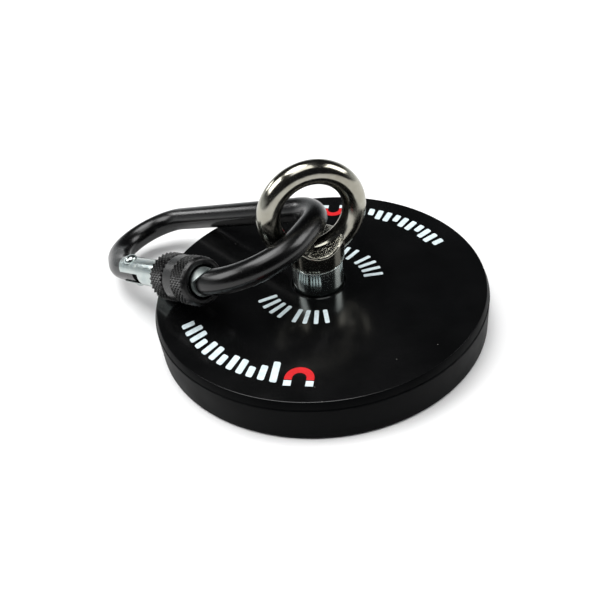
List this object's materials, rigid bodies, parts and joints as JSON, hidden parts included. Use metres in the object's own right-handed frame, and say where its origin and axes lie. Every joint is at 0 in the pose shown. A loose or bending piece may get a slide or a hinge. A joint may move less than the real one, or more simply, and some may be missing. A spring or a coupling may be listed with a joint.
{
  "type": "magnet fishing magnet",
  "caption": "Flat rubber-coated disc magnet with a threaded neck, a screwed-in lifting eye, and a small screw-lock carabiner that hangs in the eye.",
  "frame": {"origin": "centre of the disc's flat pull face", "axes": "+Z along the disc's axis, from the pull face up towards the lifting eye; the eye's ring stands in the XZ plane; +Y is away from the picture's viewer, turned 12 degrees from the view"},
  "size_m": [0.0732, 0.0749, 0.0351],
  "materials": {
    "coat": "smooth satin black moulded rubber with plain printed marks",
    "yoke": "plain rolled mild steel, inside the coat",
    "magnets": "nickel-plated sintered magnet, inside the coat",
    "bush": "turned steel, bright zinc plated",
    "eye": "polished cast stainless steel",
    "carabiner": "satin black anodised",
    "gate": "bright polished aluminium tube",
    "rivet": "polished steel rivet",
    "spring": "drawn spring steel wire",
    "plunger": "plain turned steel",
    "sleeve": "black anodised, diamond knurled"
  },
  "bodies": {
    "magnet": {"rubber_coat": "coat", "steel_yoke_plate": "yoke", "disc_magnet_01": "magnets", "disc_magnet_02": "magnets", "disc_magnet_03": "magnets", "disc_magnet_04": "magnets", "disc_magnet_05": "magnets", "disc_magnet_06": "magnets", "disc_magnet_07": "magnets", "disc_magnet_08": "magnets", "disc_magnet_09": "magnets", "disc_magnet_10": "magnets", "disc_magnet_11": "magnets", "disc_magnet_12": "magnets", "threaded_bush": "bush"},
    "eye": {"eye_bolt": "eye"},
    "carabiner": {"carabiner_body": "carabiner", "gate_rivet": "rivet"},
    "gate": {"gate": "gate", "gate_spring": "spring"},
    "plunger": {"spring_plunger": "plunger"},
    "lock_sleeve": {"lock_sleeve": "sleeve"}
  },
  "joints": [
    {"name": "eye_turn", "type": "hinge", "parent": "magnet", "child": "eye", "pos_m": [0, 0, 0.0132], "axis": [0, 0, 1], "range_deg": [0, 360]},
    {"name": "carabiner_swing", "type": "hinge", "parent": "eye", "child": "carabiner", "pos_m": [-0.00038, 0, 0.02187], "axis": [0.6458, 0.7634, -0.0117], "range_deg": [0, 115]},
    {"name": "gate_open", "type": "hinge", "parent": "carabiner", "child": "gate", "pos_m": [-0.03426, 0.01876, 0.0092], "axis": [-0.2359, 0.2141, 0.9479], "range_deg": [0, 18], "stiffness_Nm_per_rad": 0.02, "springref_deg": -28.65, "deforming": ["gate_spring"]},
    {"name": "plunger_slide", "type": "slide", "parent": "gate", "child": "plunger", "axis": [0.4779, -0.8238, 0.305], "range_m": [0, 0.0008]},
    {"name": "sleeve_slide", "type": "slide", "parent": "gate", "child": "lock_sleeve", "axis": [0.4779, -0.8238, 0.305], "range_m": [-0.001, 0.003]}
  ],
  "couplings": [
    {"joint": "plunger_slide", "follows": "gate_open", "m_per_rad": 0.0021}
  ]
}
